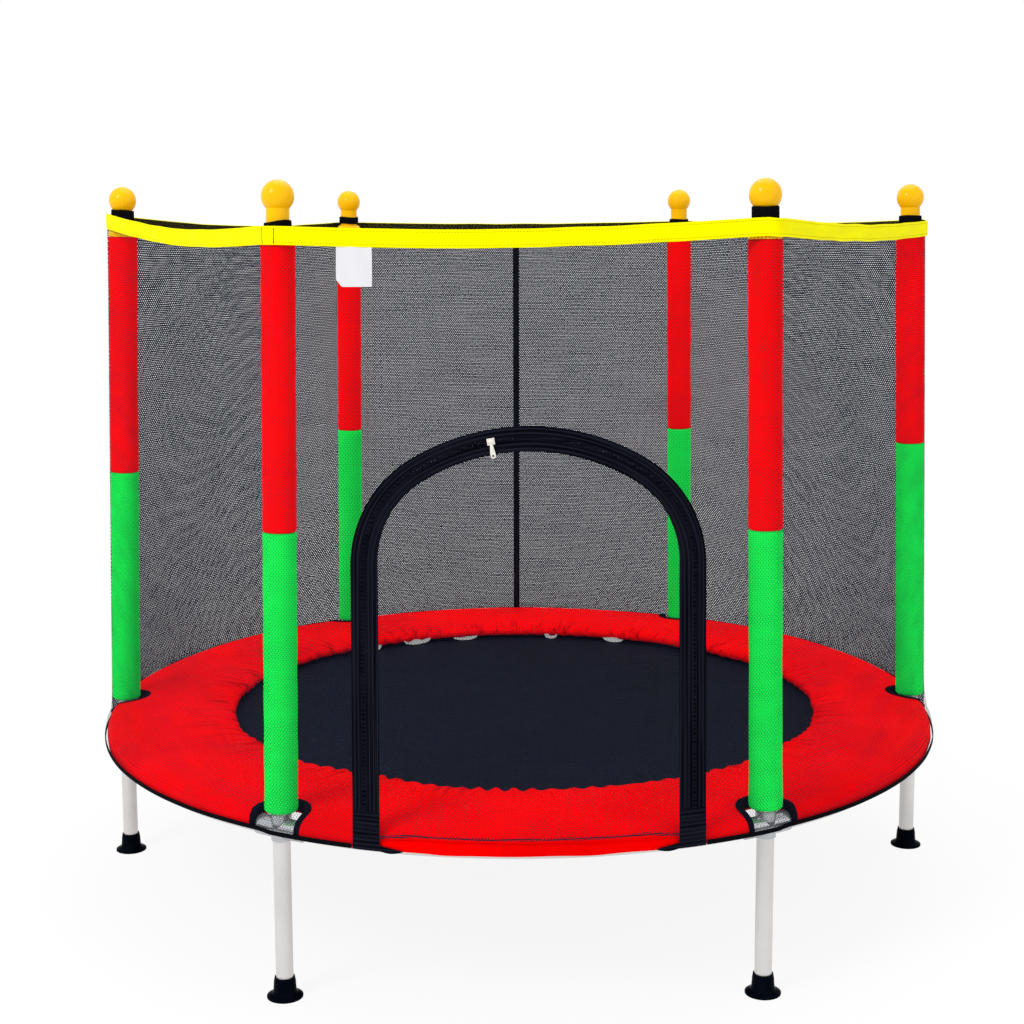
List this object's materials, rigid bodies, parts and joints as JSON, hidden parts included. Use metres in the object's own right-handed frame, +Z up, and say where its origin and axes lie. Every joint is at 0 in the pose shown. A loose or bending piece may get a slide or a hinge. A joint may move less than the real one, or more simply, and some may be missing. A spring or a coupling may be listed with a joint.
{
  "type": "trampoline",
  "caption": "Children's trampoline: round tube frame on legs, sprung mat, padded rim, padded poles and a net with an arched zip door.",
  "frame": {"origin": "on the floor, under the centre of the round frame", "axes": "+Z up; the zipped door faces -Y; pole 3 is on +X"},
  "size_m": [1.4206, 1.4205, 1.1542],
  "materials": {
    "steel_tube": "bright zinc-plated steel tube",
    "joint_steel": "bright plated steel",
    "spring_steel": "galvanised spring wire",
    "foot_rubber": "satin moulded rubber",
    "foam_green": "foam sleeve in a smooth vinyl skin",
    "foam_red": "foam sleeve in a smooth vinyl skin",
    "cap_plastic": "glossy moulded plastic",
    "elastic_black": "woven elastic",
    "mat_weave": "woven polypropylene jumping mat",
    "webbing_black": "woven webbing",
    "pad_vinyl": "coated polyester pad cover",
    "net_mesh": "knitted polyester net",
    "band_yellow": "folded woven tape with two rows of stitches",
    "zip_black": "woven zip tape with a coil of nylon teeth",
    "zip_metal": "pale plated die-cast metal"
  },
  "bodies": {
    "frame": {"ring_tube_1": "steel_tube", "ring_tube_2": "steel_tube", "ring_tube_3": "steel_tube", "ring_tube_4": "steel_tube", "ring_tube_5": "steel_tube", "ring_tube_6": "steel_tube", "tee_joint_1": "joint_steel", "tee_joint_2": "joint_steel", "tee_joint_3": "joint_steel", "tee_joint_4": "joint_steel", "tee_joint_5": "joint_steel", "tee_joint_6": "joint_steel", "leg_1": "steel_tube", "leg_2": "steel_tube", "leg_3": "steel_tube", "leg_4": "steel_tube", "leg_5": "steel_tube", "leg_6": "steel_tube", "pole_1": "steel_tube", "pole_2": "steel_tube", "pole_3": "steel_tube", "pole_4": "steel_tube", "pole_5": "steel_tube", "pole_6": "steel_tube", "foam_lower_1": "foam_green", "foam_lower_2": "foam_green", "foam_lower_3": "foam_green", "foam_lower_4": "foam_green", "foam_lower_5": "foam_green", "foam_lower_6": "foam_green", "foam_upper_1": "foam_red", "foam_upper_2": "foam_red", "foam_upper_3": "foam_red", "foam_upper_4": "foam_red", "foam_upper_5": "foam_red", "foam_upper_6": "foam_red", "pole_cap_1": "cap_plastic", "pole_cap_2": "cap_plastic", "pole_cap_3": "cap_plastic", "pole_cap_4": "cap_plastic", "pole_cap_5": "cap_plastic", "pole_cap_6": "cap_plastic", "feet": "foot_rubber", "joint_screws": "joint_steel", "elastic_loops": "elastic_black", "springs": "spring_steel", "safety_pad": "pad_vinyl", "pad_bindings": "webbing_black", "net_panels": "net_mesh", "net_door_panel": "net_mesh", "net_hem": "webbing_black", "top_band": "band_yellow", "zip_tape_fixed": "zip_black"},
    "mat": {"mat": "mat_weave", "mat_webbing": "webbing_black", "mat_rings": "spring_steel"},
    "door_flap": {"door_flap": "net_mesh", "zip_tape_flap": "zip_black"},
    "zip_slider": {"zip_slider": "zip_metal"},
    "zip_pull": {"zip_pull": "zip_metal"}
  },
  "joints": [
    {"name": "mat_bounce", "type": "slide", "parent": "frame", "child": "mat", "axis": [0, 0, 1], "range_m": [-0.12, 0], "stiffness_N_per_m": 3500, "springref_m": 0.01, "deforming": ["springs"]},
    {"name": "door_swing", "type": "hinge", "parent": "frame", "child": "door_flap", "pos_m": [-0.218, -0.67459, 0.303], "axis": [0, -0.0987, -0.9951], "range_deg": [0, 100]},
    {"name": "zip_travel", "type": "hinge", "parent": "door_flap", "child": "zip_slider", "pos_m": [0.00696, -0.62387, 0.51837], "axis": [0.0044, -0.9993, -0.0372], "range_deg": [-40, 20]},
    {"name": "pull_swing", "type": "hinge", "parent": "zip_slider", "child": "zip_pull", "pos_m": [-0.04356, -0.64265, 0.80466], "axis": [-0.9851, 0.0018, -0.1721], "range_deg": [0, 140]}
  ]
}
